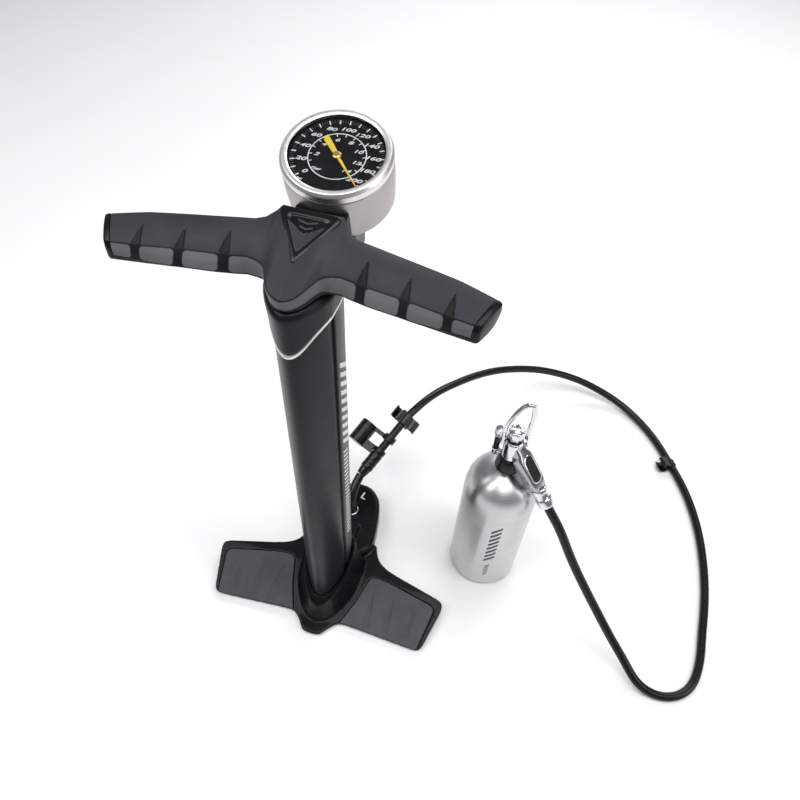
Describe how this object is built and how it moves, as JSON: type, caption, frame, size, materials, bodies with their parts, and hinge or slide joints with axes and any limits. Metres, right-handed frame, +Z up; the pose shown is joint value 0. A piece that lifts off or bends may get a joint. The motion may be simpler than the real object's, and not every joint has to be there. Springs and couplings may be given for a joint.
{
  "type": "floor bike pump",
  "caption": "Upright floor pump with wide T-handle, tilted pressure gauge, two-winged foot and a hose whose locking head sits on an aluminium air bottle.",
  "frame": {"origin": "on the floor, under the middle of the pump's own bounding box (foot, barrel, handle and gauge, without the hose and bottle)", "axes": "+Z up along the barrel, +X to the user's right along the handle, +Y from the user's toes towards the gauge and hose outlet"},
  "size_m": [0.6173, 0.4848, 0.582],
  "materials": {
    "black_plastic": "satin moulded",
    "emblem_black": "gloss moulded",
    "barrel_charcoal": "satin anodised",
    "grey_rubber": "matt",
    "tread_rubber": "matt",
    "black_rubber": "matt",
    "hose_rubber": "satin",
    "collar_black": "satin",
    "gauge_silver": "brushed",
    "bright_metal": "brushed",
    "bezel_chrome": "fine brushed",
    "head_chrome": "polished",
    "head_steel": "polished",
    "steel": "satin",
    "brass": "machined",
    "dial_black": "printed matt",
    "needle_yellow": "enamel",
    "clear_lens": "clear",
    "bottle_aluminium": "brushed"
  },
  "bodies": {
    "pump_body": {"foot_base": "black_plastic", "foot_pad_right": "tread_rubber", "foot_pad_left": "tread_rubber", "floor_foot_left": "black_rubber", "floor_foot_right": "black_rubber", "floor_foot_front": "black_rubber", "floor_foot_rear": "black_rubber", "barrel": "barrel_charcoal", "inner_cylinder": "steel", "base_plug": "brass", "plug_seal": "black_rubber", "check_valve_spring": "steel", "gauge_air_tube": "steel", "trim_ring": "bright_metal", "top_cap": "barrel_charcoal", "gauge_pod": "black_plastic", "rod_guide": "brass", "gauge_housing": "gauge_silver", "gauge_bezel": "bezel_chrome", "gauge_dial": "dial_black", "gauge_lens": "clear_lens", "gauge_stem": "brass", "bourdon_tube": "brass", "hose_post": "black_plastic", "hose_elbow": "black_plastic", "hose": "hose_rubber", "hose_sleeve": "black_plastic", "head_holder": "black_plastic", "hose_x_clip": "black_plastic", "hose_clip": "black_plastic", "bottle": "bottle_aluminium", "bottle_collar": "collar_black", "bottle_valve": "head_chrome", "bleed_stem": "black_plastic", "head_body": "head_steel", "head_inlay": "black_rubber", "head_seal": "black_rubber", "head_nut": "head_chrome", "hose_ferrule": "head_chrome", "lever_pin": "steel"},
    "handle": {"handle_core": "black_plastic", "handle_skin": "grey_rubber", "end_cap_right": "black_plastic", "end_cap_left": "black_plastic", "emblem_plate": "emblem_black", "handle_bolt": "steel", "rod": "head_chrome", "piston": "black_plastic", "piston_seal": "black_rubber", "rod_bumper": "black_rubber"},
    "needle": {"gauge_needle": "needle_yellow"},
    "selector": {"selector_dial": "head_chrome"},
    "check_ball": {"check_valve_ball": "steel"},
    "lever": {"head_lever": "head_chrome"},
    "knob": {"bleed_knob": "steel"},
    "button": {"release_button": "black_plastic"}
  },
  "joints": [
    {"name": "handle_stroke", "type": "slide", "parent": "pump_body", "child": "handle", "axis": [0, 0, 1], "range_m": [0, 0.405]},
    {"name": "needle_turn", "type": "hinge", "parent": "pump_body", "child": "needle", "pos_m": [0, 0.0612, 0.5242], "axis": [0, -0.2377, 0.9713], "range_deg": [0, 272]},
    {"name": "selector_turn", "type": "hinge", "parent": "pump_body", "child": "selector", "pos_m": [0, 0.057, 0.034], "axis": [0, 0, -1], "range_deg": [0, 90]},
    {"name": "check_ball_lift", "type": "slide", "parent": "pump_body", "child": "check_ball", "axis": [0, 0, -1], "range_m": [0, 0.0015], "stiffness_N_per_m": 60, "springref_m": -0.003, "deforming": ["check_valve_spring"]},
    {"name": "lever_swing", "type": "hinge", "parent": "pump_body", "child": "lever", "pos_m": [0.179, 0.0625, 0.262], "axis": [0.9852, 0.1712, 0], "range_deg": [0, 85]},
    {"name": "knob_turn", "type": "hinge", "parent": "pump_body", "child": "knob", "pos_m": [0.16209, 0.06867, 0.266], "axis": [0, 0, 1], "range_deg": [0, 270]},
    {"name": "button_press", "type": "slide", "parent": "pump_body", "child": "button", "axis": [-0.3783, -0.9257, 0], "range_m": [0, 0.0012], "stiffness_N_per_m": 150, "springref_m": -0.002}
  ]
}
